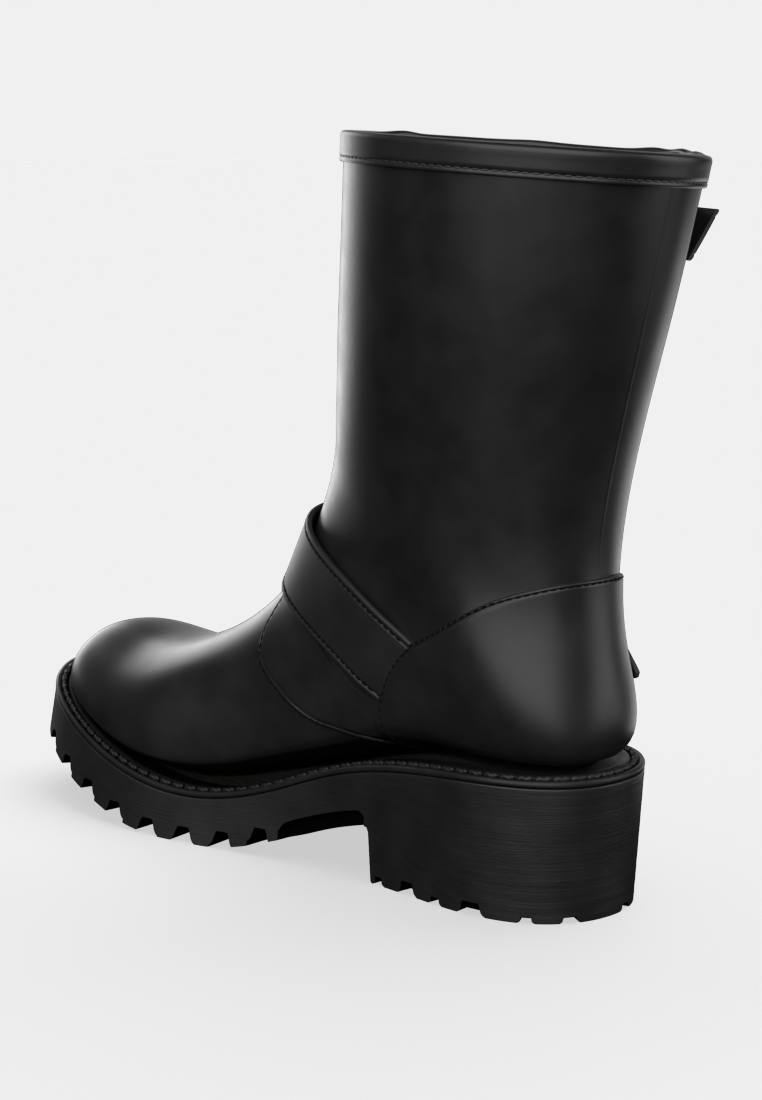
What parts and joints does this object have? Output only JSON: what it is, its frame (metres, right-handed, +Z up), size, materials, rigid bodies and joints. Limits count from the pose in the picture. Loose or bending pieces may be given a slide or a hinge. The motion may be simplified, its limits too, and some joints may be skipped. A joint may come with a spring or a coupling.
{
  "type": "rubber rain boot",
  "caption": "Black moulded rubber rain boot of the engineer style, with an instep strap and a top strap with buckles, a stitched welt, a lugged sole and a block heel.",
  "frame": {"origin": "centre of the heel's tread, on the ground", "axes": "+X towards the toe, +Y towards the wearer's other foot (the inner side of a right boot), +Z up"},
  "size_m": [0.3008, 0.1131, 0.2571],
  "materials": {
    "upper_rubber": "satin",
    "strap_rubber": "satin",
    "welt_rubber": "satin",
    "sole_rubber": "matt",
    "lining_textile": "matt knit",
    "footbed_textile": "matt",
    "insole_board": "pressed fibre board",
    "shank_steel": "plain",
    "buckle_metal": "satin nickel"
  },
  "bodies": {
    "boot": {"outsole": "sole_rubber", "welt": "welt_rubber", "insole_board": "insole_board", "shank": "shank_steel", "upper": "upper_rubber", "lining": "lining_textile", "footbed": "footbed_textile", "heel_counter": "upper_rubber", "saddle_inner": "upper_rubber", "saddle_outer": "upper_rubber", "top_binding": "upper_rubber", "instep_strap": "strap_rubber", "instep_chape": "strap_rubber", "top_strap": "strap_rubber", "top_chape": "strap_rubber"},
    "instep_frame": {"instep_buckle_frame": "buckle_metal"},
    "instep_prong": {"instep_buckle_prong": "buckle_metal"},
    "instep_loop": {"instep_keeper": "strap_rubber"},
    "top_frame": {"top_buckle_frame": "buckle_metal"},
    "top_prong": {"top_buckle_prong": "buckle_metal"},
    "top_loop": {"top_keeper": "strap_rubber"}
  },
  "joints": [
    {"name": "instep_frame_tilt", "type": "hinge", "parent": "boot", "child": "instep_frame", "pos_m": [0.04693, -0.03804, 0.09323], "axis": [0.3571, -0.0836, -0.9303], "range_deg": [0, 25]},
    {"name": "instep_prong_tilt", "type": "hinge", "parent": "instep_frame", "child": "instep_prong", "pos_m": [0.04693, -0.03804, 0.09323], "axis": [0.3571, -0.0836, -0.9303], "range_deg": [0, 20]},
    {"name": "instep_keeper_slide", "type": "slide", "parent": "boot", "child": "instep_loop", "axis": [-0.9325, -0.0894, -0.3499], "range_m": [-0.003, 0.003]},
    {"name": "top_frame_tilt", "type": "hinge", "parent": "boot", "child": "top_frame", "pos_m": [0.00203, -0.05279, 0.22408], "axis": [0.0626, 0.0866, -0.9943], "range_deg": [0, 25]},
    {"name": "top_prong_tilt", "type": "hinge", "parent": "top_frame", "child": "top_prong", "pos_m": [0.00203, -0.05279, 0.22408], "axis": [0.0626, 0.0866, -0.9943], "range_deg": [0, 20]},
    {"name": "top_keeper_slide", "type": "slide", "parent": "boot", "child": "top_loop", "axis": [-0.998, 0.0021, -0.0626], "range_m": [-0.003, 0.003]}
  ]
}
